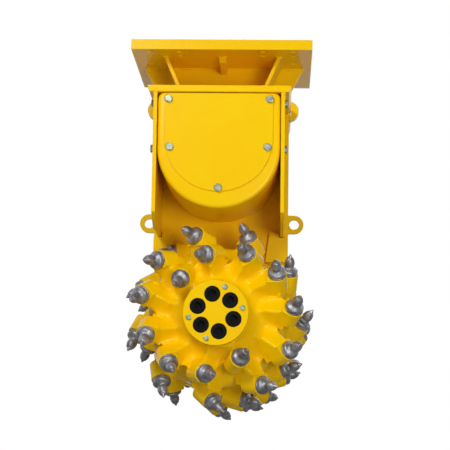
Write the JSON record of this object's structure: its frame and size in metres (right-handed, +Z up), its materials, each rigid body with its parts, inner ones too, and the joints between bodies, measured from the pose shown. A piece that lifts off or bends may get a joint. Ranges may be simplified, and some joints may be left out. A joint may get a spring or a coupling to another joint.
{
  "type": "excavator drum cutter",
  "caption": "Hydraulic drum cutter for an excavator: two pick drums on one shaft, a spur gear case, a motor casing between guard plates, and a bolt-on adapter plate.",
  "frame": {"origin": "centre of the adapter plate's top face, where the unit is bolted to its carrier", "axes": "+Z up and out of the plate's top face, Y along the drum axis with the motor casing at -Y, X across the unit"},
  "size_m": [0.6514, 1.044, 1.3126],
  "materials": {
    "yellow_enamel": "gloss",
    "zinc_plated_steel": "satin",
    "machined_steel": "satin",
    "forged_steel": "satin",
    "tungsten_carbide": "matt",
    "black_oxide_steel": "satin",
    "cast_iron": "matt",
    "nitrile_rubber": "matt"
  },
  "bodies": {
    "root": {"adapter_plate": "yellow_enamel", "bracket_web": "yellow_enamel", "bracket_gussets_left": "yellow_enamel", "bracket_gussets_right": "yellow_enamel", "bracket_centre_ribs": "yellow_enamel", "bracket_ears": "yellow_enamel", "roof_plate": "yellow_enamel", "guard_left": "yellow_enamel", "guard_right": "yellow_enamel", "guard_bolts": "zinc_plated_steel", "rear_guard_left": "yellow_enamel", "rear_guard_right": "yellow_enamel", "motor_casing": "yellow_enamel", "motor_cover": "yellow_enamel", "motor_cover_gasket": "nitrile_rubber", "motor_cover_bolts": "zinc_plated_steel", "rear_cover": "yellow_enamel", "rear_cover_bolts": "zinc_plated_steel", "gear_case_front": "yellow_enamel", "gear_case_rear": "yellow_enamel", "wear_plates": "yellow_enamel", "case_shields": "yellow_enamel", "hydraulic_motor": "cast_iron", "pinion_bearings": "machined_steel", "idler_axle": "machined_steel", "idler_caps": "yellow_enamel", "drum_bearings": "machined_steel", "drum_seals": "nitrile_rubber", "port_fittings": "machined_steel", "port_caps": "yellow_enamel", "oil_plugs": "machined_steel", "lifting_lug_left": "yellow_enamel", "lifting_lug_right": "yellow_enamel"},
    "drum": {"drum_gear": "machined_steel", "drum_shaft": "machined_steel", "drum_shell_front": "yellow_enamel", "drum_shell_rear": "yellow_enamel", "pick_holders_front": "yellow_enamel", "pick_holders_rear": "yellow_enamel", "picks_front": "forged_steel", "picks_rear": "forged_steel", "pick_tips_front": "tungsten_carbide", "pick_tips_rear": "tungsten_carbide", "end_plate_front": "yellow_enamel", "end_plate_rear": "yellow_enamel", "clamp_screws": "black_oxide_steel", "end_plate_screws": "zinc_plated_steel"},
    "idler": {"idler_gear": "machined_steel", "idler_bearing": "machined_steel"},
    "pinion": {"drive_pinion": "machined_steel", "motor_shaft": "machined_steel"},
    "nose_pick_front_a": {"nose_pick_front_a": "forged_steel"},
    "nose_pick_front_b": {"nose_pick_front_b": "forged_steel"},
    "nose_pick_rear_a": {"nose_pick_rear_a": "forged_steel"},
    "nose_pick_rear_b": {"nose_pick_rear_b": "forged_steel"}
  },
  "joints": [
    {"name": "drum_spin", "type": "hinge", "parent": "root", "child": "drum", "pos_m": [0, 0, -0.985], "axis": [0, 1, 0], "continuous": true},
    {"name": "idler_spin", "type": "hinge", "parent": "root", "child": "idler", "pos_m": [0, 0, -0.675], "axis": [0, 1, 0], "continuous": true},
    {"name": "pinion_spin", "type": "hinge", "parent": "root", "child": "pinion", "pos_m": [0, 0, -0.415], "axis": [0, 1, 0], "continuous": true},
    {"name": "nose_pick_front_a_spin", "type": "hinge", "parent": "drum", "child": "nose_pick_front_a", "pos_m": [-0.1192, -0.45578, -0.8656], "axis": [-0.2557, -0.8829, -0.3937], "continuous": true},
    {"name": "nose_pick_front_b_spin", "type": "hinge", "parent": "drum", "child": "nose_pick_front_b", "pos_m": [0.08142, -0.45578, -1.13277], "axis": [0.3549, -0.8829, 0.3074], "continuous": true},
    {"name": "nose_pick_rear_a_spin", "type": "hinge", "parent": "drum", "child": "nose_pick_rear_a", "pos_m": [-0.1192, 0.45578, -0.8656], "axis": [-0.2557, 0.8829, -0.3937], "continuous": true},
    {"name": "nose_pick_rear_b_spin", "type": "hinge", "parent": "drum", "child": "nose_pick_rear_b", "pos_m": [0.08142, 0.45578, -1.13277], "axis": [0.3549, 0.8829, 0.3074], "continuous": true}
  ],
  "couplings": [
    {"joint": "idler_spin", "follows": "drum_spin", "ratio": -1.2143},
    {"joint": "pinion_spin", "follows": "drum_spin", "ratio": 1.4167}
  ]
}
